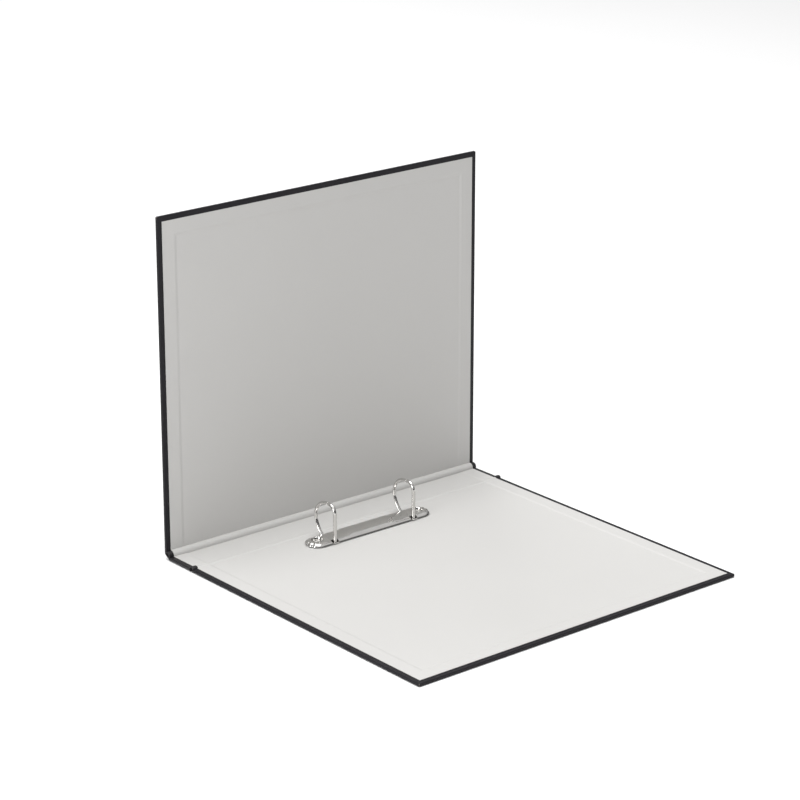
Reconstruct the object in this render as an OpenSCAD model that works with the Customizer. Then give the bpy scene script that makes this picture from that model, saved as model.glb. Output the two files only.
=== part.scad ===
// A4 two-ring binder, lying open: the back cover and spine are flat on the table and the
// front cover stands upright on its hinge. X runs along the hinges, the back cover lies
// towards -Y and the front cover stands at +Y. The origin is the middle of the bounding
// box on the table. Sizes are in millimetres.

/* [Covers] */
// Height of the covers, measured along the spine
cover_h = 315; // [300:1:330]
// Width of each cover, from its hinge edge to its free edge
cover_w = 270; // [230:1:290]
// Thickness of the greyboard
board_t = 1.9; // [1.5:0.1:2.5]
// Thickness of the covering paper and of the spine cloth
wrap_t = 0.35; // [0.2:0.05:0.5]
// Thickness of the lining paper
lining_t = 0.25; // [0.15:0.05:0.4]
// Dark border left between a cover's edge and its lining
border = 4.3; // [2:0.1:6]
// Width of the covering turned in over the inside of the board
turn_in = 15; // [10:1:20]

/* [Spine and hinges] */
// Width of the spine panel
spine_w = 26.6; // [24:0.2:40]
// Gap between two boards when they lie flat
hinge_gap = 5; // [4.5:0.5:6]
// Distance from the spine panel's edge to the hinge axis
hinge_out = 3.1; // [2.5:0.1:3.5]
// Height of the hinge axis over the outside of the boards
hinge_up = 3.3; // [3:0.1:3.6]
// Radius of the round bead that the lining makes over the bent front hinge
front_bead_r = 3.6; // [3:0.1:4.2]
// Height of the low ridge over the flat back hinge
back_ridge_h = 0.8; // [0.5:0.1:1.5]

/* [Label] */
// Length of the spine label, along the spine
label_l = 111; // [60:1:190]
// Width of the spine label
label_w = 24; // [15:1:25]
// Distance from the head of the spine to the label
label_drop = 33; // [20:1:60]

/* [Ring mechanism] */
// Diameter of the ring wire
wire_d = 3; // [2.4:0.1:3.2]
// Distance from the hinge edge of the back cover to the middle of the mechanism
mech_in = 18.4; // [18:0.1:24]
// Width of the housing
housing_w = 20; // [20:0.5:22]
// Height of the housing's upright sides
side_h = 2; // [1.8:0.1:2.4]
// Rise of the arched top over the sides
arch_rise = 2.4; // [2.2:0.1:3]
// Thickness of the housing's spring steel
steel_t = 0.8; // [0.6:0.1:0.8]
// Distance between the two rivets
rivet_pitch = 102; // [98:1:110]
// Height of the top of the rings over the table
ring_top = 35; // [32:0.5:35]
// Tilt of the closed carrier plates, down towards the middle
plate_tilt = 4; // [3:0.5:4]

/* [Hidden] */

$fn = 64;

black_paper = [0.10, 0.10, 0.11];
black_cloth = [0.13, 0.12, 0.13];
pale_lining = [0.86, 0.86, 0.84];
greyboard = [0.62, 0.58, 0.52];
label_white = [0.95, 0.95, 0.94];
nickel = [0.78, 0.78, 0.77];

// Heights of the layers over the outside of a cover: board, turned-in wrapping and lining
half_h = cover_h / 2;
low_z = wrap_t + board_t;
wrapped_t = low_z + wrap_t;
total_t = wrapped_t + lining_t;
seat_z = low_z + lining_t;
label_t = 0.12;

// Places along Y from the hinge edge of the back cover, before the origin is moved
spine_near = hinge_gap;
spine_far = spine_near + spine_w;
back_axis_y = hinge_gap - hinge_out;
front_axis_y = spine_far + hinge_out;

// The front cover turned up by 90 degrees about its hinge axis
front_outer_y = front_axis_y + hinge_up;
front_bottom_z = hinge_up + hinge_gap - hinge_out;
origin_y = (front_outer_y - cover_w) / 2;

// Ring mechanism; filing holes are always 80 mm apart
ring_pitch = 80;
mech_y = -mech_in;
housing_r = housing_w / 2;
crown_r = (pow(housing_r, 2) + pow(arch_rise, 2)) / (2 * arch_rise);
crown_z = seat_z + side_h + arch_rise - crown_r;
lip_w = 1.5;
lip_t = 0.5;
pivot_y = housing_r - steel_t - 0.9;
plate_t = 0.9;
pivot_z = seat_z + lip_t + 0.15 + plate_t / 2;
plate_l = 88;
plate_gap = 0.08;
plate_edge = 0.45;
ear_w = 5;
notch_w = 6.4;
ring_x = ring_pitch / 2;
rivet_x = rivet_pitch / 2;
cup_r = 4.5;
cup_wall = 0.7;
cup_floor_t = 0.7;
shank_r = 2;
rivet_head_r = 3.8;
rivet_head_t = 0.9;
washer_r = 4.6;
washer_t = 0.5;

// Centre line of a closed ring, in the Y-Z plane
wire_r = wire_d / 2;
post_y = mech_y - pivot_y - 0.3;
ring_z = ring_top - wire_r;
corner_r = 7;
corner_y = post_y + corner_r;
corner_z = ring_z - corner_r;
arc_r = 13.6;
arc_y = mech_y + 2;
arc_z = ring_z - arc_r;
split_y = corner_y + 1.2;
leg_angle = -atan2(3, 4);
leg_l = (arc_z + arc_r * sin(leg_angle) - pivot_z) / cos(leg_angle);
foot_y = arc_y + arc_r * cos(leg_angle) + leg_l * sin(leg_angle);
neck_r = 0.95;
ear_out = 2.3;
split_gap = 0.1;

// Unit vector across the line from a to b, to its left
function across(a, b) = [a[1] - b[1], b[0] - a[0]] / norm(b - a);

// Direction across a line of points at point i
function cross_dir(p, i) =
    i == 0 ? across(p[0], p[1])
    : i == len(p) - 1 ? across(p[i - 1], p[i])
    : let (u = across(p[i - 1], p[i]), v = across(p[i], p[i + 1])) (u + v) / (1 + u * v);

// Outline of a sheet of thickness t whose middle follows the points p
function sheet_outline(p, t) = concat(
    [for (i = [0 : len(p) - 1]) p[i] + cross_dir(p, i) * t / 2],
    [for (i = [len(p) - 1 : -1 : 0]) p[i] - cross_dir(p, i) * t / 2]
);

// Moves the hinge-edge origin of the sizes above to the origin of the model
module placed() {
    translate([0, -origin_y, 0]) children();
}

// Box from one corner to the opposite one
module span(low, high) {
    translate(low) cube(high - low);
}

// A Y-Z outline drawn out along X
module along_x(x0, x1) {
    translate([x0, 0, 0]) rotate([90, 0, 90]) linear_extrude(x1 - x0) children();
}

// ---- Boards with their paper, lying flat from y0 to y1 with the outside down ----
// edge is 1 where the y0 side is a cover's free edge, and 0 where it is a hinge edge

module board(y0, y1, edge) {
    span([-half_h + wrap_t, y0 + edge * wrap_t, wrap_t], [half_h - wrap_t, y1, low_z]);
}

// Sheet under a board, wrapped round its free edges and turned in over its inside
module wrapping(y0, y1, edge) {
    past = 1;
    window_y = edge == 1 ? y0 + turn_in : y0 - past;
    board_y = edge == 1 ? y0 + wrap_t : y0 - past;
    difference() {
        span([-half_h, y0, 0], [half_h, y1, wrapped_t]);
        span([-half_h + wrap_t, board_y, wrap_t], [half_h - wrap_t, y1 + past, low_z]);
        span([-half_h + turn_in, window_y, wrap_t], [half_h - turn_in, y1 + past, total_t]);
    }
}

// Lining sheet, which steps down onto the board inside the turned-in wrapping
module lining(y0, y1, edge) {
    past = 1;
    outer_y = y0 + edge * border;
    step_y = y0 + edge * turn_in;
    inner_y = edge == 1 ? step_y + lining_t : y0 - past;
    step_x = half_h - turn_in;
    difference() {
        span([-half_h + border, outer_y, wrapped_t], [half_h - border, y1, total_t]);
        span([-step_x + lining_t, inner_y, 0], [step_x - lining_t, y1 + past, total_t + past]);
    }
    difference() {
        span([-step_x, step_y, low_z], [step_x, y1, wrapped_t]);
        span([-step_x + lining_t, inner_y, seat_z], [step_x - lining_t, y1 + past, total_t]);
    }
}

// Puts a cover drawn flat from -cover_w to 0 where the front cover stands
module stood_up() {
    translate([0, front_outer_y, front_bottom_z]) rotate([-90, 0, 180]) children();
}

// ---- Back cover ----

// Bores through the back cover for the two mechanism rivets, with a seat for each washer
module rivet_bores() {
    for (side = [-1, 1]) translate([side * rivet_x, mech_y, 0]) {
        translate([0, 0, -1]) cylinder(r = shank_r + 0.05, h = total_t + 2);
        translate([0, 0, -1]) cylinder(r = washer_r, h = washer_t + 1);
    }
}

module back_board() {
    color(greyboard) placed() difference() {
        board(-cover_w, 0, 1);
        rivet_bores();
    }
}

module back_covering() {
    color(black_paper) placed() difference() {
        wrapping(-cover_w, 0, 1);
        rivet_bores();
    }
}

module back_lining() {
    color(pale_lining) placed() difference() {
        lining(-cover_w, 0, 1);
        rivet_bores();
    }
}

// ---- Spine ----

module spine_board() {
    color(greyboard) placed() board(spine_near, spine_far, 0);
}

// Place of the label in the outside of the spine, sunk by the pressed paper's thickness
module label_block(t) {
    label_y = (spine_near + spine_far) / 2;
    label_x = half_h - label_drop;
    span([label_x - label_l, label_y - label_w / 2, 0], [label_x, label_y + label_w / 2, t]);
}

module spine_cloth() {
    color(black_cloth) placed() difference() {
        wrapping(spine_near, spine_far, 0);
        translate([0, 0, -1]) label_block(1 + label_t);
    }
}

module spine_lining() {
    color(pale_lining) placed() lining(spine_near, spine_far, 0);
}

module spine_label() {
    color(label_white) placed() label_block(label_t);
}

// ---- Front cover, standing ----

module front_board() {
    color(greyboard) placed() stood_up() board(-cover_w, 0, 1);
}

module front_covering() {
    color(black_paper) placed() stood_up() wrapping(-cover_w, 0, 1);
}

module front_lining() {
    color(pale_lining) placed() stood_up() lining(-cover_w, 0, 1);
}

// ---- Hinges, where cloth outside and lining inside bridge the gap between two boards ----

// Cloth of the flat back hinge: flat by the cover, then folded up into the gap
module back_hinge_cloth() {
    mid_z = wrap_t / 2;
    fold = [
        [0, mid_z], [0.34 * hinge_gap, mid_z], [0.5 * hinge_gap, 0.4 * total_t],
        [0.62 * hinge_gap, 0.66 * total_t], [0.74 * hinge_gap, 0.64 * total_t],
        [0.86 * hinge_gap, 0.3 * total_t], [0.94 * hinge_gap, mid_z], [hinge_gap, mid_z]
    ];
    color(black_cloth) placed() along_x(-half_h, half_h) polygon(sheet_outline(fold, wrap_t));
}

// Lining raised in a low ridge over the back hinge
module back_hinge_bead() {
    half_w = hinge_gap / 2 + 0.8;
    ridge_r = (pow(half_w, 2) + pow(back_ridge_h, 2)) / (2 * back_ridge_h);
    color(pale_lining) placed() difference() {
        along_x(-half_h + border, half_h - border)
            translate([hinge_gap / 2, seat_z + back_ridge_h - ridge_r]) bead_section(ridge_r);
        span([-half_h, -2 * ridge_r, -2 * ridge_r], [half_h, 2 * ridge_r, seat_z]);
        for (side = [-1, 1]) turn_in_space(side, -hinge_gap, 2 * hinge_gap);
    }
}

// Cloth of the bent front hinge: a deep groove by the spine, then a flat strip to the cover
module front_hinge_cloth() {
    reach = front_outer_y - spine_far;
    rise = front_bottom_z;
    mid = wrap_t / 2;
    fold = [
        [0, mid], [0.05 * reach, mid], [0.12 * reach, 0.2 * rise], [0.2 * reach, 0.42 * rise],
        [0.29 * reach, 0.43 * rise], [0.38 * reach, 0.35 * rise], [0.56 * reach, 0.48 * rise],
        [0.84 * reach, 0.74 * rise], [reach - mid, 0.9 * rise], [reach - mid, rise]
    ];
    color(black_cloth) placed() translate([0, spine_far, 0])
        along_x(-half_h, half_h) polygon(sheet_outline(fold, wrap_t));
}

// Lining rolled in a quarter round from the spine up to the front cover
module front_hinge_bead() {
    bead_y = front_outer_y - seat_z - 0.9;
    bead_z = seat_z + 0.9;
    color(pale_lining) placed() difference() {
        along_x(-half_h + border, half_h - border) translate([bead_y, bead_z])
            bead_section(front_bead_r);
        span([-half_h, 0, -hinge_gap], [half_h, 2 * spine_far, seat_z]);
        span([-half_h, front_outer_y - seat_z, 0], [half_h, 2 * spine_far, 2 * spine_far]);
        span([-half_h, bead_y, -1], [half_h, 2 * spine_far, bead_z]);
        for (side = [-1, 1]) {
            turn_in_space(side, 0, 2 * spine_far);
            stood_up() turn_in_space(side, -spine_far, 1);
        }
    }
}

// Ring between two circles, a lining's thickness wide
module bead_section(r) {
    difference() {
        circle(r = r);
        circle(r = r - lining_t);
    }
}

// Space taken by a turned-in edge and its lining at one end of a panel
module turn_in_space(side, y0, y1) {
    inner_x = side * (half_h - turn_in - lining_t);
    outer_x = side * (half_h + 1);
    span([min(inner_x, outer_x), y0, 0], [max(inner_x, outer_x), y1, total_t]);
}

// ---- Ring mechanism ----

// Half of the housing's cross-section: upright side, arched top and inturned lip
module housing_half_section() {
    difference() {
        intersection() {
            translate([0, crown_z]) circle(r = crown_r);
            translate([0, seat_z]) square([housing_r, crown_r]);
        }
        intersection() {
            translate([0, crown_z]) circle(r = crown_r - steel_t);
            translate([-1, seat_z + lip_t]) square([housing_r - steel_t + 1, crown_r]);
        }
        translate([-1, seat_z - 1]) square([housing_r - steel_t - lip_w + 1, lip_t + 2]);
    }
}

// Pressed spring-steel cover with spoon-shaped ends, a cup round each rivet and ring slots
module ring_housing() {
    cup_top = seat_z + side_h + arch_rise - steel_t - 0.4;
    color(nickel) placed() translate([0, mech_y, 0]) difference() {
        union() {
            for (side = [0, 1]) mirror([0, side, 0])
                along_x(-rivet_x, rivet_x) housing_half_section();
            for (side = [-1, 1]) translate([side * rivet_x, 0, 0]) {
                rotate([0, 0, side * 90 - 180]) rotate_extrude(angle = 180) housing_half_section();
                translate([0, 0, seat_z]) cylinder(r = cup_r + cup_wall, h = cup_top - seat_z);
            }
        }
        for (side = [-1, 1]) translate([side * rivet_x, 0, 0]) {
            translate([0, 0, seat_z + cup_floor_t]) cylinder(r = cup_r, h = crown_r);
            cylinder(r = shank_r + 0.05, h = crown_r);
            for (turn = [-26, 0, 26]) rotate([0, 0, 90 - side * 90 + turn])
                translate([housing_r + 0.7, 0, 0]) cylinder(r = 1.5, h = crown_r);
        }
        for (x = [-ring_x, ring_x]) {
            span([x - notch_w / 2, -housing_r - 1, -1], [x + notch_w / 2, -housing_r + 3.2, crown_r]);
            span([x - notch_w / 2, housing_r - 4.6, -1], [x + notch_w / 2, housing_r + 1, crown_r]);
        }
    }
}

// Flat plate from its pivot line at the housing's side in to the middle, tilted about the pivot
// side is -1 for the front plate and 1 for the rear one
module plate_blank(side) {
    translate([0, mech_y + side * pivot_y, pivot_z]) rotate([side * plate_tilt, 0, 0]) {
        inner = -side * (pivot_y - plate_gap);
        outer = side * plate_edge;
        span([-plate_l / 2, min(inner, outer), -plate_t / 2], [plate_l / 2, max(inner, outer), plate_t / 2]);
        if (side == -1) for (x = [-ring_x, ring_x])
            span([x - ear_w / 2, -ear_out, -plate_t / 2], [x + ear_w / 2, 0, plate_t / 2]);
    }
}

// Bores in which the necks of the rings are riveted
module neck_bores(y) {
    for (x = [-ring_x, ring_x]) neck(x, y, 2 * plate_t);
}

// Neck under a ring half, through its carrier plate
module neck(x, y, length) {
    translate([x, y, pivot_z - length / 2]) cylinder(r = neck_r, h = length);
}

module front_carrier_plate() {
    color(nickel) placed() difference() {
        plate_blank(-1);
        neck_bores(post_y);
    }
}

module rear_carrier_plate() {
    color(nickel) placed() difference() {
        plate_blank(1);
        neck_bores(foot_y);
    }
}

// Turns a drawing whose X and Y stand for Y and Z up into the plane of a ring
module in_ring_plane(x, y, z) {
    translate([x, y, z]) rotate([90, 0, 90]) children();
}

// Cuts the foot of a ring off at its carrier plate and adds the neck that is riveted in it
module footed(x, y, side) {
    difference() {
        children();
        plate_blank(side);
        span([x - wire_d, y - wire_d, -1], [x + wire_d, y + wire_d, pivot_z]);
    }
    intersection() {
        neck(x, y, plate_t + 0.3);
        plate_blank(side);
    }
}

// Ring half that stands straight up on the page side and bends over at the top
module post_ring(x) {
    color(nickel) placed() footed(x, post_y, -1) {
        translate([x, post_y, pivot_z]) cylinder(r = wire_r, h = corner_z - pivot_z);
        in_ring_plane(x, corner_y, corner_z) {
            rotate([0, 0, 90]) rotate_extrude(angle = 90) translate([corner_r, 0]) circle(r = wire_r);
            translate([0, corner_r, 0]) rotate([0, 90, 0]) cylinder(r = wire_r, h = split_y - corner_y);
        }
    }
}

// Ring half that arches over to the spine side and leans straight back in to its foot
module arch_ring(x) {
    past = arc_r + wire_d;
    color(nickel) placed() footed(x, foot_y, 1) in_ring_plane(x, arc_y, arc_z) {
        difference() {
            rotate_extrude() translate([arc_r, 0]) circle(r = wire_r);
            span([-past, -past, -wire_d], [0, past, wire_d]);
            rotate([0, 0, leg_angle]) span([-past, -2 * past, -wire_d], [past, 0, wire_d]);
        }
        translate([0, arc_r, 0]) rotate([0, -90, 0])
            cylinder(r = wire_r, h = arc_y - split_y - split_gap);
        rotate([0, 0, leg_angle]) translate([arc_r, 0, 0]) rotate([90, 0, 0])
            cylinder(r = wire_r, h = leg_l);
    }
}

module left_post_ring() { post_ring(-ring_x); }
module right_post_ring() { post_ring(ring_x); }
module left_arch_ring() { arch_ring(-ring_x); }
module right_arch_ring() { arch_ring(ring_x); }

// Rivet with a low head in the housing's cup and a shank through the back cover
module rivet(x) {
    head_z = seat_z + cup_floor_t;
    color(nickel) placed() translate([x, mech_y, 0]) {
        cylinder(r = shank_r, h = head_z);
        translate([0, 0, head_z]) cylinder(r = rivet_head_r, h = rivet_head_t);
    }
}

// Washer let into the outside of the back cover round a rivet's shank
module rivet_washer(x) {
    color(nickel) placed() translate([x, mech_y, 0]) difference() {
        cylinder(r = washer_r, h = washer_t);
        translate([0, 0, -1]) cylinder(r = shank_r + 0.05, h = washer_t + 2);
    }
}

module left_rivet() { rivet(-rivet_x); }
module right_rivet() { rivet(rivet_x); }
module left_rivet_washer() { rivet_washer(-rivet_x); }
module right_rivet_washer() { rivet_washer(rivet_x); }

back_board();
back_covering();
back_lining();
spine_board();
spine_cloth();
spine_lining();
spine_label();
front_board();
front_covering();
front_lining();
back_hinge_cloth();
back_hinge_bead();
front_hinge_cloth();
front_hinge_bead();
ring_housing();
front_carrier_plate();
rear_carrier_plate();
left_post_ring();
right_post_ring();
left_arch_ring();
right_arch_ring();
left_rivet();
right_rivet();
left_rivet_washer();
right_rivet_washer();
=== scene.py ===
import math

import bmesh
import bpy
import numpy as np
from mathutils import Matrix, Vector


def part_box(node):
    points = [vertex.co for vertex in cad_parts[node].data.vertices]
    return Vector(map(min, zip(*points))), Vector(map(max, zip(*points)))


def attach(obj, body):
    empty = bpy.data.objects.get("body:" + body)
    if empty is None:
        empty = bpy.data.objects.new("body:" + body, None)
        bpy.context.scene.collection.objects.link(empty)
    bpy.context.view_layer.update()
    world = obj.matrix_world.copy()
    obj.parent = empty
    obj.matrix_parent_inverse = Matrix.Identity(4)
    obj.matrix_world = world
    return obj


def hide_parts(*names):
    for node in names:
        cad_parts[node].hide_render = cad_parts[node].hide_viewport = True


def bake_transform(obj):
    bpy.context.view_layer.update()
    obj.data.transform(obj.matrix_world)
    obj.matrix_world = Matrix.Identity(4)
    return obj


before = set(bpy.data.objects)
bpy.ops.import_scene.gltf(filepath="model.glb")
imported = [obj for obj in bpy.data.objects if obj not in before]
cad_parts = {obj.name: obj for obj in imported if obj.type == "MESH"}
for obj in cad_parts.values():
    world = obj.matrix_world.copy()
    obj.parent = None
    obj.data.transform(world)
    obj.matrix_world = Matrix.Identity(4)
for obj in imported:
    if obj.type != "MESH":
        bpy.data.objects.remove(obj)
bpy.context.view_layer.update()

# ---- The view, the floor and the light ----
# A long lens looks down on the open binder from its tail end, across the back cover. The
# binder lies on a plain pale floor under a broad soft light from above, in a studio that
# gets darker towards the horizon.

CAMERA_PLACE = (-1.3392, -1.5630, 0.8498)
CAMERA_AZIMUTH, CAMERA_ELEVATION = math.radians(-39.57), math.radians(19.11)
camera_data = bpy.data.cameras.new("camera")
camera_data.lens, camera_data.sensor_width, camera_data.clip_end = 129.8, 36, 60
camera = bpy.data.objects.new("camera", camera_data)
bpy.context.scene.collection.objects.link(camera)
camera.matrix_world = (
    Matrix.Translation(CAMERA_PLACE)
    @ Matrix.Rotation(CAMERA_AZIMUTH, 4, "Z")
    @ Matrix.Rotation(math.pi / 2 - CAMERA_ELEVATION, 4, "X")
)
bpy.context.scene.camera = camera
bpy.context.scene.view_settings.view_transform = "Standard"


def area_light(name, place, target, size, power):
    """A square soft light at place, turned so that its -Z axis points at target."""
    light = bpy.data.lights.new(name, "AREA")
    light.shape, light.size, light.energy = "SQUARE", size, power
    lamp = bpy.data.objects.new(name, light)
    bpy.context.scene.collection.objects.link(lamp)
    away = np.subtract(place, target)
    turn = math.atan2(away[1], away[0]) + math.pi / 2
    tip = math.atan2(math.hypot(away[0], away[1]), away[2])
    lamp.matrix_world = (
        Matrix.Translation(place) @ Matrix.Rotation(turn, 4, "Z") @ Matrix.Rotation(tip, 4, "X")
    )


area_light("overhead_softbox", (-0.2, 0.1, 2.6), (0, 0, 0), 1.6, 56)
area_light("side_softbox", (-1.2, -0.25, 0.45), (-0.1, 0.1, 0.12), 0.5, 6.0)
area_light("rear_softbox", (1.0, 2.4, 1.9), (0, 0.2, 0.1), 1.2, 14)


class Wire:
    """A node's output. + - * / between wires and numbers add Math nodes."""

    def __init__(self, net, socket):
        self.net, self.socket = net, socket

    def __add__(self, other):
        return self.net.maths("ADD", self, other)

    def __sub__(self, other):
        return self.net.maths("SUBTRACT", self, other)

    def __rsub__(self, other):
        return self.net.maths("SUBTRACT", other, self)

    def __mul__(self, other):
        return self.net.maths("MULTIPLY", self, other)

    def __truediv__(self, other):
        return self.net.maths("DIVIDE", self, other)

    def __rtruediv__(self, other):
        return self.net.maths("DIVIDE", other, self)

    __radd__, __rmul__ = __add__, __mul__


class Finish:
    """A material or world and its nodes; the wires x, y, z are the piece's own coordinates in metres."""

    def __init__(self, name, fixed=None, owner=None):
        self.owner = owner or bpy.data.materials.new(name)
        self.owner.use_nodes = True
        self.tree = self.owner.node_tree
        self.shader = self.tree.nodes.get("Principled BSDF") or self.tree.nodes["Background"]
        for socket, value in (fixed or {}).items():
            self.shader.inputs[socket].default_value = value
        self.place = self.node("TexCoord", {}, {}, "Object" if owner is None else "Generated")
        self.x, self.y, self.z = (
            self.node("SeparateXYZ", {}, {0: self.place}, axis) for axis in ("X", "Y", "Z")
        )

    def node(self, kind, settings, inputs, out=0):
        """Adds a node, sets its settings and sockets, and gives its output named or numbered out."""
        made = self.tree.nodes.new("ShaderNode" + kind)
        for name, value in settings.items():
            setattr(made, name, value)
        for name, value in inputs.items():
            if isinstance(value, Wire):
                self.tree.links.new(value.socket, made.inputs[name])
            else:
                made.inputs[name].default_value = value
        return Wire(self, made.outputs[out])

    def maths(self, operation, *values):
        return self.node("Math", {"operation": operation}, dict(enumerate(values)))

    def step(self, value, low, high):
        """0 below low, 1 above high, and smooth between."""
        settings = {"interpolation_type": "SMOOTHSTEP"}
        return self.node("MapRange", settings, {"Value": value, "From Min": low, "From Max": high})

    def band(self, value, low, high, soft):
        """1 between low and high, falling to 0 over the width soft on each side."""
        return self.step(value, low - soft, low) * (1 - self.step(value, high, high + soft))

    def noise(self, scale, detail=2.0, stretch=(1, 1, 1)):
        """Soft noise from 0 to 1, with scale bumps to the metre, divided along each axis by stretch."""
        size = tuple(scale / s for s in stretch)
        where = self.node("VectorMath", {"operation": "MULTIPLY"}, {0: self.place, 1: size})
        return self.node("TexNoise", {}, {"Vector": where, "Scale": 1.0, "Detail": detail})

    def cells(self, scale, stretch=(1, 1, 1)):
        """Distance to the nearest cell centre, for rounded grains of leather."""
        size = tuple(scale / s for s in stretch)
        where = self.node("VectorMath", {"operation": "MULTIPLY"}, {0: self.place, 1: size})
        settings = {"feature": "SMOOTH_F1"}
        return self.node("TexVoronoi", settings, {"Vector": where, "Scale": 1.0, "Smoothness": 0.6})

    def mix(self, share, first, second):
        """A colour that goes from first to second as share goes from 0 to 1."""
        colours = {6: first, 7: second}
        return self.node("Mix", {"data_type": "RGBA"}, {0: share, **colours}, 2)

    def wear(self, colour, rough, height=None, depth=0.0001):
        """Gives the shader its varying colour, roughness and relief; depth is in metres."""
        for socket, value in (("Base Color", colour), ("Roughness", rough)):
            if value is not None:
                self.tree.links.new(value.socket, self.shader.inputs[socket])
        if height is not None:
            settings = {"Height": height, "Distance": depth, "Strength": 1.0}
            bump = self.node("Bump", {}, settings)
            self.tree.links.new(bump.socket, self.shader.inputs["Normal"])


studio = Finish("", owner=bpy.context.scene.world or bpy.data.worlds.new("studio"))
bpy.context.scene.world = studio.owner
sky = studio.mix(studio.step(studio.z, 0.2, 0.75), (0.10, 0.10, 0.105, 1), (1.15, 1.15, 1.15, 1))
studio.tree.links.new(sky.socket, studio.shader.inputs["Color"])
studio.shader.inputs["Strength"].default_value = 0.62

floor_finish = Finish("floor_paper", {"Roughness": 0.8, "Specular IOR Level": 0.2})
floor_finish.wear(floor_finish.mix(floor_finish.noise(3), (0.94, 0.94, 0.94, 1), (0.96, 0.96, 0.96, 1)), None)
floor_mesh = bpy.data.meshes.new("floor")
FLOOR_HALF, FLOOR_Z = 9.0, -0.0002
floor_mesh.from_pydata(
    [(x, y, FLOOR_Z) for x, y in ((-1, -1), (1, -1), (1, 1), (-1, 1))] * np.array((FLOOR_HALF, FLOOR_HALF, 1)),
    [], [(0, 1, 2, 3)],
)
floor_mesh.materials.append(floor_finish.owner)
floor = bpy.data.objects.new("floor", floor_mesh)
bpy.context.scene.collection.objects.link(floor)

# ---- Boards ----
# Three panels of raw greyboard give the covers and the spine their stiffness. They are
# glued between the covering and the lining and don't show.

greyboard = Finish("raw_greyboard", {"Roughness": 0.9})
greyboard.wear(
    greyboard.mix(greyboard.noise(900, 4), (0.25, 0.225, 0.19, 1), (0.40, 0.37, 0.33, 1)),
    None, greyboard.noise(2500, 3), 0.00005,
)
for name in ("back_board", "spine_board", "front_board"):
    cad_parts[name].data.materials.clear()
    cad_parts[name].data.materials.append(greyboard.owner)

# ---- Covering paper ----
# Each cover is wrapped in black coated paper with a fine linen grain. It runs round the
# three free edges and is turned in over the inside of the board, under the lining.

MM = 0.001
HINGE_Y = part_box("back_covering")[1][1] / MM
STAND_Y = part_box("front_covering")[1][1] / MM - HINGE_Y
STAND_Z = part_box("front_covering")[0][2] / MM
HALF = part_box("back_covering")[1][0] / MM
COVER_W = HINGE_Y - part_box("back_covering")[0][1] / MM
PAPER_T, WRAPPED_T, TURN_IN = 0.35, 2.6, 15.0
EDGE_R, CORNER_R, LEAST_R = 0.9, 1.3, 0.15


def flat_pose(points):
    """Points of a cover as drawn: outside down at z = 0 and hinge edge at y = 0."""
    return points


def standing(points):
    """The drawn cover turned to stand: x becomes -x, y becomes the depth from the outside, z the height."""
    x, y, z = np.moveaxis(points, -1, 0)
    return np.stack([-x, STAND_Y - z, STAND_Z - y], -1)


def quads(rows, cols, ring_rows=False, ring_cols=False):
    """Faces over a grid of points, facing along its row step crossed with its column step."""
    i, j = np.meshgrid(np.arange(rows - 1 + ring_rows), np.arange(cols - 1 + ring_cols), indexing="ij")
    i_next, j_next = (i + 1) % rows, (j + 1) % cols
    corners = [i * cols + j, i_next * cols + j, i_next * cols + j_next, i * cols + j_next]
    return np.stack(corners, -1).reshape(-1, 4).tolist()


def make_piece(name, points, faces, finish, replaced, thickness=0.0, offset=-1.0, crease=40, even=True):
    """A piece from points in millimetres, y from the back cover's hinge edge. A sheet is thickened away
    from its face side, doubles are merged, and edges over crease degrees stay crisp."""
    mesh = bpy.data.meshes.new(name)
    placed = (points.reshape(-1, 3) + np.array((0, HINGE_Y, 0))) * MM
    mesh.from_pydata(placed.tolist(), [], faces)
    piece = bpy.data.objects.new(name, mesh)
    bpy.context.scene.collection.objects.link(piece)
    shell = bmesh.new()
    shell.from_mesh(mesh)
    bmesh.ops.remove_doubles(shell, verts=shell.verts, dist=1e-7)
    shell.to_mesh(mesh)
    shell.free()
    if thickness:
        wall = piece.modifiers.new("thickness", "SOLIDIFY")
        wall.thickness, wall.offset, wall.use_even_offset = thickness * MM, offset, even
        whole = piece.evaluated_get(bpy.context.evaluated_depsgraph_get())
        mesh = bpy.data.meshes.new_from_object(whole)
        piece.modifiers.clear()
        piece.data = mesh
    mesh.shade_smooth()
    mesh.set_sharp_from_angle(angle=math.radians(crease))
    mesh.materials.clear()
    mesh.materials.append(finish.owner)
    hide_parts(*replaced)
    return piece


def edge_profile(inner):
    """Inset and height from the outside face at inner, round a radiused edge, to the inside face at inner."""
    turn = np.radians(np.linspace(0, 90, 7))
    low_inset, low_z = EDGE_R * (1 - np.sin(turn)), EDGE_R * (1 - np.cos(turn))
    inset = np.concatenate([[inner, 2.0, 1.2], low_inset, low_inset[::-1], [1.2, 2.0, inner]])
    height = np.concatenate([[0, 0, 0], low_z, WRAPPED_T - low_z[::-1], [WRAPPED_T] * 3])
    return inset, height


def wrapped_cover():
    """The edge profile carried round the three free edges, with rounded corners, and the outside face."""
    inset, height = edge_profile(TURN_IN)
    radius = np.maximum(CORNER_R - inset, LEAST_R)
    turn = np.radians(np.linspace(0, 90, 8))[:, None]
    along = HALF - inset - radius
    down = -COVER_W + inset + radius
    left = np.stack([-along - radius * np.cos(turn), down - radius * np.sin(turn)], -1)
    right = np.stack([along + radius * np.sin(turn), down - radius * np.cos(turn)], -1)
    start = np.stack([inset - HALF, 0 * inset], -1)[None]
    plan = np.concatenate([start, left, right, start * (-1, 1)])
    points = np.concatenate([plan, np.broadcast_to(height[:, None], plan.shape[:2] + (1,))], -1)
    rows, cols = plan.shape[:2]
    outside = [i * cols for i in range(rows)][::-1]
    return points, quads(rows, cols) + [outside]


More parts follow.
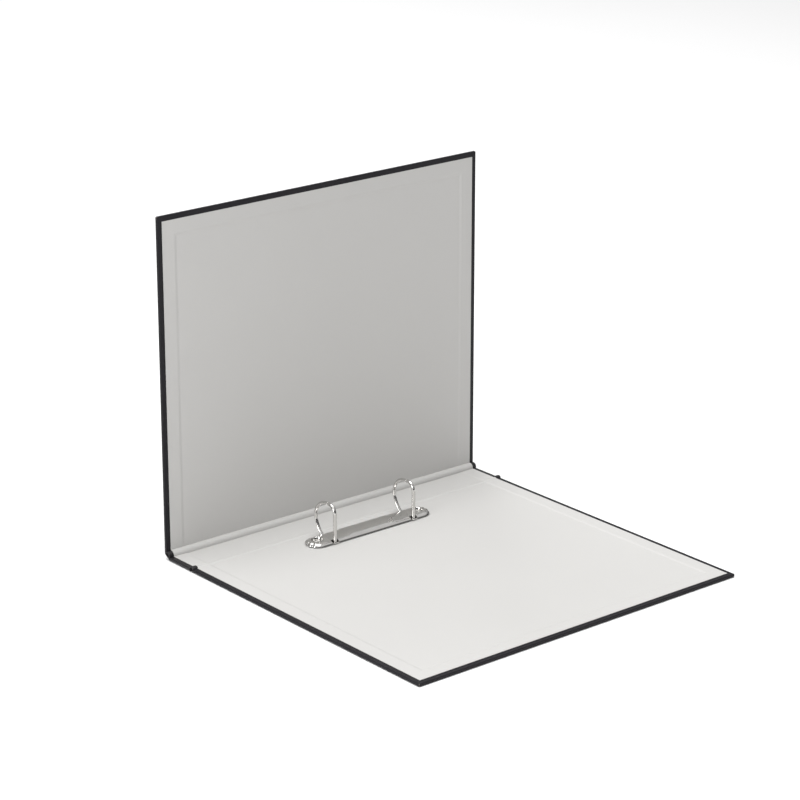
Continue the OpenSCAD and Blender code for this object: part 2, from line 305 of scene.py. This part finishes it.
linen = Finish("black_linen_paper", {"Coat Weight": 0.02, "Coat Roughness": 0.3, "Specular IOR Level": 0.2})
across = linen.y + linen.z
drift = linen.noise(500, 3)
warp = linen.maths("SINE", (linen.x + drift * 0.00035) * (2 * math.pi / 0.00052))
weft = linen.maths("SINE", (across + drift * 0.00035) * (2 * math.pi / 0.00047))
slubs = linen.noise(900, 3, (5, 1, 1)) + linen.noise(900, 3, (1, 5, 5))
rub = linen.step(linen.noise(35, 4), 0.55, 0.8)
linen.wear(
    linen.mix(slubs * 0.5, (0.006, 0.0055, 0.0075, 1), (0.017, 0.0155, 0.019, 1)),
    0.40 + slubs * 0.09 - rub * 0.04,
    warp * weft * 0.5 + slubs * 0.8, 0.00005,
)

cover_points, cover_faces = wrapped_cover()
for name, body, turned in (("back", "back_cover", flat_pose), ("front", "front_cover", standing)):
    paper = make_piece(
        name + "_cover_paper", turned(cover_points), cover_faces, linen,
        [name + "_covering"], PAPER_T,
    )
    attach(paper, body)

# ---- Lining ----
# A sheet of pale paper is glued over the inside of each panel, a few millimetres in from
# the free edges. It steps down where the turned-in covering ends, which shows faintly.

BORDER, LINING_T, STEP_W = 4.3, 0.25, 3.2
SPINE_NEAR, SPINE_FAR = (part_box("spine_board")[side][1] / MM - HINGE_Y for side in (0, 1))


def smooth(value, low, high):
    """0 below low, 1 above high, and smooth between."""
    share = np.clip((value - low) / (high - low), 0, 1)
    return share * share * (3 - 2 * share)


def turn_in_drop(depth):
    """How far the lining has stepped down at a depth from the free edge."""
    return PAPER_T * smooth(depth, TURN_IN - 0.3, TURN_IN - 0.3 + STEP_W)


def lined_panel(low_y, high_y, edge_y):
    """A sheet whose height is level, less the turn-in drop at each point's distance from the nearest free
    edge, which wanders by a tenth of a millimetre as a hand-turned edge does."""
    step = TURN_IN + np.linspace(-0.6, 3.2, 13)
    x = np.concatenate([[-HALF + BORDER], step - HALF, np.linspace(-136, 136, 35), (HALF - step)[::-1]])
    x = np.concatenate([x, [HALF - BORDER]])
    y = np.linspace(low_y, high_y, 40)
    if edge_y is not None:
        y = np.sort(np.concatenate([[low_y], edge_y + step, np.linspace(edge_y + 20, high_y, 36)]))
    x, y = np.meshgrid(x, y, indexing="ij")
    depth = HALF - np.abs(x)
    if edge_y is not None:
        depth = np.minimum(depth, y - edge_y)
    depth = depth + 0.12 * np.sin(0.17 * x + 1.0) * np.sin(0.13 * y)
    points = np.stack([x, y, WRAPPED_T + LINING_T - turn_in_drop(depth)], -1)
    return points, quads(*x.shape)


lining = Finish("pale_lining_paper", {"Specular IOR Level": 0.35, "Sheen Weight": 0.05})
fibre = lining.noise(2600, 3, (3, 1, 1)) + lining.noise(2600, 3, (1, 3, 3))
cloudy = lining.noise(9, 3)
lining.wear(
    lining.mix(fibre * 0.3 + cloudy * 0.4, (0.535, 0.528, 0.514, 1), (0.585, 0.578, 0.564, 1)),
    0.5 + cloudy * 0.12,
    fibre, 0.00001,
)
for name, body, turned in (("back", "back_cover", flat_pose), ("front", "front_cover", standing)):
    sheet_points, sheet_faces = lined_panel(-COVER_W + BORDER, 0, -COVER_W)
    sheet = make_piece(
        name + "_cover_lining", turned(sheet_points), sheet_faces, lining,
        [name + "_lining"], LINING_T,
    )
    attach(sheet, body)
sheet_points, sheet_faces = lined_panel(SPINE_NEAR, SPINE_FAR, None)
sheet = make_piece(
    "spine_inner_lining", sheet_points, sheet_faces, lining, ["spine_lining"], LINING_T
)
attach(sheet, "spine")

# ---- Spine cloth and label ----
# The spine is covered in black book cloth with a coarse leather grain that runs along it,
# turned in at the head and tail. A paper label is pressed flush into its outside.

leather = Finish("black_leather_cloth", {"Coat Weight": 0.05, "Coat Roughness": 0.35, "Specular IOR Level": 0.3})
grain = leather.cells(1150, (2.6, 1, 1))
pores = leather.noise(2600, 3, (2, 1, 1))
folds = leather.noise(420, 3, (4, 1, 1))
relief = grain * 0.9 + folds * 0.8 + pores * 0.25
leather.wear(
    leather.mix(leather.step(relief, 0.5, 1.3), (0.007, 0.0065, 0.008, 1), (0.021, 0.019, 0.021, 1)),
    0.5 - leather.step(relief, 0.6, 1.3) * 0.16,
    relief, 0.00022,
)
LABEL_LOW, LABEL_HIGH = (np.array(corner) / MM - (0, HINGE_Y, 0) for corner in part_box("spine_label"))


def spine_wrap():
    """The edge profile at head and tail joined under the spine, with a shallow rest where the label sits."""
    inset, height = edge_profile(TURN_IN)
    gap = 0.03
    under = np.sort(np.concatenate([np.linspace(-140, 140, 29), *(
        (edge - gap, edge + gap) for edge in (LABEL_LOW[0], LABEL_HIGH[0]))]))
    x = np.concatenate([inset[::-1] - HALF, under, HALF - inset])
    z = np.concatenate([height[::-1], 0 * under, height])
    y = np.sort(np.concatenate([np.linspace(SPINE_NEAR, SPINE_FAR, 9), *(
        (edge - gap, edge + gap) for edge in (LABEL_LOW[1], LABEL_HIGH[1]))]))
    y, x = np.meshgrid(y, x, indexing="ij")
    z = np.broadcast_to(z, x.shape)
    inside = (x > LABEL_LOW[0]) & (x < LABEL_HIGH[0]) & (y > LABEL_LOW[1]) & (y < LABEL_HIGH[1])
    points = np.stack([x, y, np.where(inside & (z == 0), LABEL_HIGH[2] + 0.01, z)], -1)
    return points, quads(*x.shape)


spine_points, spine_faces = spine_wrap()
spine_cloth = make_piece(
    "spine_leather", spine_points, spine_faces, leather, ["spine_cloth"], PAPER_T, crease=50
)
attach(spine_cloth, "spine")

label = Finish("printed_label", {"Roughness": 0.55, "Specular IOR Level": 0.4})
from_head = LABEL_HIGH[0] * MM - label.x
from_left = label.y - (LABEL_LOW[1] + HINGE_Y) * MM
title_band = label.band(from_head, 0.0125, 0.0265, 0.0001)
foot_band = label.band(from_head, 0.1020, 0.1064, 0.0001)
# The dark grey strip along the label's far side, from 21.8 mm across, is painted shade at the label's edge; the
# two bands across the label are print.
edge_shade_strip = label.step(from_left, 0.0218, 0.0219)
side_line = label.band(from_left, 0.0013, 0.0016, 0.00005)
fibres = label.noise(3000, 3)
paper = label.mix(fibres, (0.80, 0.79, 0.76, 1), (0.86, 0.85, 0.83, 1))
print_and_edge_shade = label.mix(label.maths("MAXIMUM", edge_shade_strip, side_line), paper, (0.16, 0.16, 0.165, 1))
print_and_edge_shade = label.mix(label.maths("MAXIMUM", title_band, foot_band), print_and_edge_shade, (0.045, 0.045, 0.05, 1))
label.wear(print_and_edge_shade, 0.5 + fibres * 0.1, fibres, 0.00001)
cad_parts["spine_label"].data.materials.clear()
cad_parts["spine_label"].data.materials.append(label.owner)

# ---- Hinges ----
# Cloth outside and lining inside carry on across the gap between two panels. The cloth
# folds in to a groove and the lining is pushed up in to a roll.


def smooth_line(knots, count):
    """Points along the curve through the knots whose slope at each is half the way between its neighbours."""
    knots = np.asarray(knots, float)
    ends = np.concatenate([[2 * knots[0] - knots[1]], knots, [2 * knots[-1] - knots[-2]]])
    place = np.linspace(0, len(knots) - 1 - 1e-9, count)
    i = place.astype(int)
    t = (place - i)[:, None]
    a, b, c, d = ends[i], ends[i + 1], ends[i + 2], ends[i + 3]
    return b + 0.5 * t * (c - a + t * (2 * a - 5 * b + 4 * c - d + t * (3 * (b - c) + d - a)))


def drawn_along(section, x):
    """A Y-Z section carried along X."""
    points = np.empty((len(section), len(x), 3))
    points[..., 0] = x
    points[..., 1:] = section[:, None]
    return points


def folded_end(side, outer, inner):
    """The closed outline between the cloth outside and its turned-in end inside, drawn out to the end of
    the spine, rounded in over the last half millimetre, and sunk in the middle like the end of a tube."""
    loop = np.concatenate([outer, inner[::-1]])
    middle = loop.mean(0)
    back = np.array([BORDER + 0.4, BORDER, 0.8, 0.35, 0.1, 0, 0.1, 0.5, 1.2])
    x = HALF - back
    keep = np.array([1, 1, 1, 0.97, 0.9, 0.8, 0.68, 0.6, 0.55])
    section = middle + (loop - middle)[:, None] * keep[None, :, None]
    points = np.concatenate([np.broadcast_to(x[:, None], section.shape[:2] + (1,)), section], -1)
    points = points * (side, 1, 1)
    faces = quads(len(loop), len(x), ring_rows=True)
    faces.append([i * len(x) + len(x) - 1 for i in range(len(loop))])
    faces.append([i * len(x) for i in range(len(loop))][::-1])
    return points, faces if side < 0 else [face[::-1] for face in faces]


def hinge(name, outer_knots, inner, end_inner, roll_name):
    """Cloth, end folds and lining roll of one hinge."""
    outer = smooth_line(outer_knots, 40)
    ripple = np.linspace(-HALF + 0.4, HALF - 0.4, 120)
    made = [make_piece(
        name + "_hinge_leather", drawn_along(outer, ripple), quads(40, 120), leather,
        [name + "_hinge_cloth"], PAPER_T, 0.0,
    )]
    for word, side in (("tail", -1), ("head", 1)):
        points, faces = folded_end(side, outer, end_inner)
        made.append(make_piece(name + "_hinge_" + word + "_fold", points, faces, leather, []))
    x = np.linspace(-HALF + BORDER, HALF - BORDER, 200)
    points = drawn_along(inner, x)
    drop = turn_in_drop(HALF - np.abs(x))
    points[..., 2] -= drop * (points[..., 2] < 4.0)
    roll = make_piece(
        roll_name, points, [face[::-1] for face in quads(len(inner), 200)], lining,
        [name + "_hinge_bead"], LINING_T,
    )
    for piece in (*made, roll):
        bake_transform(piece)


across_gap = np.linspace(-1, 1, 25)
ridge = np.stack([SPINE_NEAR / 2 + 3.3 * across_gap, 2.80 + 0.75 * np.cos(across_gap * math.pi / 2) ** 2], -1)
hump = np.stack([SPINE_NEAR / 2 + 2.5 * across_gap, 2.3 + 2.1 * np.sqrt(1 - across_gap**2)], -1)
hinge(
    "back",
    [(0, 0.25), (1.2, 0.25), (2.2, 0.7), (2.9, 1.75), (3.5, 1.9), (4.1, 1.1), (4.5, 0.32), (5, 0.25)],
    ridge, hump,
    "back_hinge_ridge",
)
ROLL_Y, ROLL_Z, ROLL_R = STAND_Y - 3.4, 3.4, 3.6
turn = np.radians(np.linspace(199, 68, 40))
roll = np.stack([ROLL_Y + ROLL_R * np.cos(turn), ROLL_Z + ROLL_R * np.sin(turn)], -1)
turn = np.radians(np.linspace(195, 62, 30))
tube = np.stack([ROLL_Y + (ROLL_R - 0.25) * np.cos(turn), ROLL_Z + (ROLL_R - 0.25) * np.sin(turn)], -1)
reach = STAND_Y - SPINE_FAR
fold = np.array([
    (0, 0.048), (0.05, 0.052), (0.12, 0.2), (0.2, 0.42), (0.29, 0.43), (0.38, 0.35),
    (0.56, 0.48), (0.84, 0.74), (0.955, 0.9), (0.96, 1.0),
]) * (reach, STAND_Z) + (SPINE_FAR, 0)
hinge(
    "front", fold, roll, tube,
    "front_hinge_roll",
)

# ---- Ring mechanism housing ----
# A channel of nickel-plated spring steel is pressed to an arch with round ends. It has a
# notch for each ring foot and a sunk cup at each end, where a rivet holds it to the cover.

nickel = Finish("bright_nickel", {"Metallic": 1.0})
scratch = nickel.noise(1500, 3, (12, 1, 1))
tarnish = nickel.noise(120, 4)
nickel.wear(
    nickel.mix(tarnish, (0.60, 0.59, 0.575, 1), (0.74, 0.73, 0.71, 1)),
    0.10 + scratch * 0.06 + tarnish * 0.05,
    nickel.noise(260, 2), 0.000015,
)
MECH_Y = (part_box("ring_housing")[0][1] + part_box("ring_housing")[1][1]) / (2 * MM) - HINGE_Y
HOUSING_R, RIVET_X, RING_X = 10.0, 51.0, 40.0
SIDE_TOP, CROWN = 4.5, 6.9
STEEL_T, CUP_R, CUP_LIP = 0.7, 4.5, 0.5
NOTCH_HALF, POST_NOTCH_IN, ARCH_NOTCH_IN = 3.2, 3.2, 4.6
CROWN_R = (HOUSING_R**2 + (CROWN - SIDE_TOP) ** 2) / (2 * (CROWN - SIDE_TOP))


def arch(from_middle):
    """Height of the arched top at a distance from the middle line."""
    return CROWN - CROWN_R + np.sqrt(CROWN_R**2 - from_middle**2)


def housing_shell():
    """A side-and-arch profile carried round a long round-ended outline and in to the middle line or to the
    cup. Three bites are taken out of each end, the middle stands a little higher, and at each ring the
    profile starts further in, which leaves a notch."""
    half = NOTCH_HALF + np.array((-0.02, 0.02))
    notch = np.concatenate([c + s * half for c in (-RING_X, RING_X) for s in (-1, 1)])
    straight = np.sort(np.concatenate([np.linspace(-RIVET_X, RIVET_X, 103), notch]))
    round_end = np.linspace(-90, 90, 61)[1:-1]
    middle_x = np.concatenate([straight, 0 * round_end + RIVET_X, straight[::-1], 0 * round_end - RIVET_X])
    angle = np.radians(np.concatenate([0 * straight - 90, round_end, 0 * straight + 90, round_end + 180]))
    out = np.stack([np.cos(angle), np.sin(angle)], -1)
    from_tip = np.degrees(angle) % 180 - np.where(np.degrees(angle) % 180 > 90, 180, 0)
    at_end = np.abs(middle_x) == RIVET_X
    bites = sum(np.exp(-(((from_tip - a) / 6.5) ** 2)) for a in (-27, 0, 27)) * 1.0 * at_end
    lumps = sum(np.exp(-(((from_tip - a) / 7.0) ** 2)) for a in (-14, 14, -42, 42)) * 0.45 * at_end
    to_cup = RIVET_X - np.abs(middle_x)
    cup_edge = np.sqrt(np.maximum((CUP_R + CUP_LIP) ** 2 - to_cup**2, 0))
    inner = HOUSING_R - np.where(at_end, CUP_R + CUP_LIP, cup_edge)
    side = np.array([(1.2, 3.30), (0.4, 3.22), (0.08, 3.28), (0, 3.42), (0.12, 3.7), (0.3, 4.05), (0.55, 4.38),
                     (0.9, 4.72), (1.35, 4.98)])
    share = np.linspace(0, 1, 16) ** 1.2
    inset = np.concatenate([np.broadcast_to(side[:, 0], (len(angle), 9)), 2.0 + (inner[:, None] - 2.0) * share], 1)
    arched = arch(np.maximum(HOUSING_R - inset[:, 9:], 0))
    height = np.concatenate([np.broadcast_to(side[:, 1], (len(angle), 9)), arched], 1)
    in_notch = np.abs(np.abs(middle_x) - RING_X) < NOTCH_HALF
    first = np.where(angle < 0, POST_NOTCH_IN, ARCH_NOTCH_IN)
    cut = first[:, None] + (inner - first)[:, None] * np.linspace(0, 1, 25)
    cut_z = arch(np.maximum(HOUSING_R - cut, 0))
    notched = (in_notch & ~at_end)[:, None]
    inset, height = np.where(notched, cut, inset), np.where(notched, cut_z, height)
    height = height + lumps[:, None] * np.exp(-(((inset - 1.9) / 1.0) ** 2))
    raised = 0.35 * smooth(-np.abs(middle_x), -24.5, -22.5)[:, None]
    height = height + raised * smooth(inset, 1.0, 3.5)
    radius = HOUSING_R - inset - bites[:, None] * np.exp(-inset / 2.5)
    plan = np.stack([middle_x, 0 * middle_x], -1)[:, None] + radius[..., None] * out[:, None]
    points = np.concatenate([plan + (0, MECH_Y), height[..., None]], -1)
    return points, quads(*height.shape, ring_rows=True)


shell_points, shell_faces = housing_shell()
housing = make_piece(
    "mechanism_housing", shell_points, shell_faces, nickel, ["ring_housing"], STEEL_T, crease=50,
    even=False,
)
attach(housing, "back_cover")

for word, side in (("left", -1), ("right", 1)):
    around = np.radians(np.linspace(0, 360, 49)[:-1])
    towards = np.cos(around) * -side
    rim = arch(np.where(towards > 0, np.abs(np.sin(around)), 1.0) * (CUP_R + CUP_LIP))
    wall_r = np.append(CUP_R + np.array([0.65, 0.5, 0.25, 0.05, -0.1, -0.3, -0.7]), 2.0)
    sink = np.array([0.03, 0.06, 0.0, -0.25, 1, 0, 0, 0])
    floor_z = np.array([0, 0, 0, 0, 3.9, 3.4, 3.25, 3.2])
    on_rim = np.arange(8) < 4
    height = np.where(on_rim, rim[:, None] + sink, floor_z)
    points = np.stack([
        side * RIVET_X + wall_r * np.cos(around)[:, None],
        MECH_Y + wall_r * np.sin(around)[:, None], height,
    ], -1)
    cup = make_piece(
        word + "_rivet_cup", points, quads(48, 8, ring_rows=True), nickel, [], 0.4, crease=60
    )
    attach(cup, "back_cover")

# ---- Rivets and washers ----
# A low-headed steel rivet at each end goes through the housing, the cover and a washer let
# in to the outside of the cover, where its hollow end is rolled over.

turn = np.radians(np.linspace(0, 90, 6))
HEAD_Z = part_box("left_rivet")[1][2] / MM
rivet_r = np.concatenate([
    [0.0, 1.1, 1.5, 1.8, 2.1], 3.3 + 0.5 * np.sin(turn), [3.8, 2.0, 2.0, 1.3, 1.2, 0.0],
])
rivet_z = np.concatenate([
    [HEAD_Z - 0.35, HEAD_Z - 0.32, HEAD_Z - 0.15, HEAD_Z - 0.02], [HEAD_Z], HEAD_Z - 0.45 * (1 - np.cos(turn)),
    [HEAD_Z - 0.9, HEAD_Z - 0.9, 0.12, 0.02, 0.6, 0.6],
])
around = np.radians(np.linspace(0, 360, 49)[:-1])
for word, side in (("left", -1), ("right", 1)):
    points = np.stack([
        side * RIVET_X + rivet_r * np.cos(around)[:, None],
        MECH_Y + rivet_r * np.sin(around)[:, None], np.broadcast_to(rivet_z, (48, len(rivet_z))),
    ], -1)
    rivet = make_piece(
        word + "_tube_rivet", points, [face[::-1] for face in quads(48, len(rivet_z), ring_rows=True)], nickel,
        [word + "_rivet"], crease=50,
    )
    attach(rivet, "back_cover")
    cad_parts[word + "_rivet_washer"].data.materials.clear()
    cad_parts[word + "_rivet_washer"].data.materials.append(nickel.owner)

# ---- Carrier plates and rings ----
# Two flat plates under the housing carry the rings and snap over as they meet. Each ring is
# two halves of bright wire, a round post and a slightly flattened arch, meeting at the top.

for name in ("front_carrier_plate", "rear_carrier_plate"):
    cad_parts[name].data.materials.clear()
    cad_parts[name].data.materials.append(nickel.owner)

WIRE_R, ARCH_FLAT = 1.5, 0.8
POST_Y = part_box("left_post_ring")[0][1] / MM + WIRE_R - HINGE_Y
RING_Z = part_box("left_post_ring")[1][2] / MM - WIRE_R
FOOT_Z, BEND_R, ARC_R = 3.9, 7.0, 13.6
ARC_Y = MECH_Y + 2.0
SPLIT_Y = POST_Y + BEND_R + 1.2


def wire(x, path, radius, flat):
    """An oval section carried along a path in a plane across X and closed at both ends. It is the given radii
    along X, and flat times them in the plane."""
    ahead = np.gradient(path, axis=0)
    ahead /= np.linalg.norm(ahead, axis=1)[:, None]
    side = np.stack([-ahead[:, 1], ahead[:, 0]], -1)
    angle = np.linspace(0, 2 * math.pi, 25)[:-1]
    points = np.empty((len(path), 24, 3))
    points[..., 0] = x + radius[:, None] * np.cos(angle)
    points[..., 1:] = path[:, None] + flat * radius[:, None, None] * np.sin(angle)[:, None] * side[:, None]
    faces = quads(len(path), 24, ring_cols=True)
    faces += [list(range(24)), [(len(path) - 1) * 24 + i for i in range(24)][::-1]]
    return points, faces


turn = np.radians(np.linspace(180, 90, 24))
bend = np.stack([POST_Y + BEND_R + BEND_R * np.cos(turn), RING_Z - BEND_R + BEND_R * np.sin(turn)], -1)
post_path = np.concatenate([
    np.stack([np.full(12, POST_Y), np.linspace(FOOT_Z, RING_Z - BEND_R - 0.4, 12)], -1), bend,
    np.stack([np.array([0.4, 0.9, 1.05, 1.2]) + POST_Y + BEND_R, np.full(4, RING_Z)], -1),
])
post_r = np.full(len(post_path), WIRE_R)
post_r[:2], post_r[-2:] = (1.35, 1.5), (1.42, 1.2)
turn = np.radians(np.linspace(90, -20, 60))
arc = np.stack([ARC_Y + ARC_R * np.cos(turn), RING_Z - ARC_R + ARC_R * np.sin(turn)], -1)
leg = smooth_line([arc[-1], (ARC_Y + 11.1, 11.4), (ARC_Y + 8.5, 7.6), (ARC_Y + 5.0, FOOT_Z)], 20)[1:]
tip = np.stack([np.array([0.1, 0.22, 0.35, 0.9]) + SPLIT_Y, np.full(4, RING_Z)], -1)
arch_path = np.concatenate([tip, arc, leg])
arch_r = np.full(len(arch_path), WIRE_R)
arch_r[:2], arch_r[-2:] = (1.2, 1.42), (1.5, 1.35)
for word, x in (("left", -RING_X), ("right", RING_X)):
    for kind, path, radius, flat, body in (
        ("post", post_path, post_r, 1.0, "front_carrier"),
        ("arch", arch_path, arch_r, ARCH_FLAT, "rear_carrier"),
    ):
        points, faces = wire(x, path, radius, flat)
        half = make_piece(
            word + "_" + kind + "_wire", points, faces, nickel,
            [word + "_" + kind + "_ring"], crease=50,
        )
        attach(half, body)
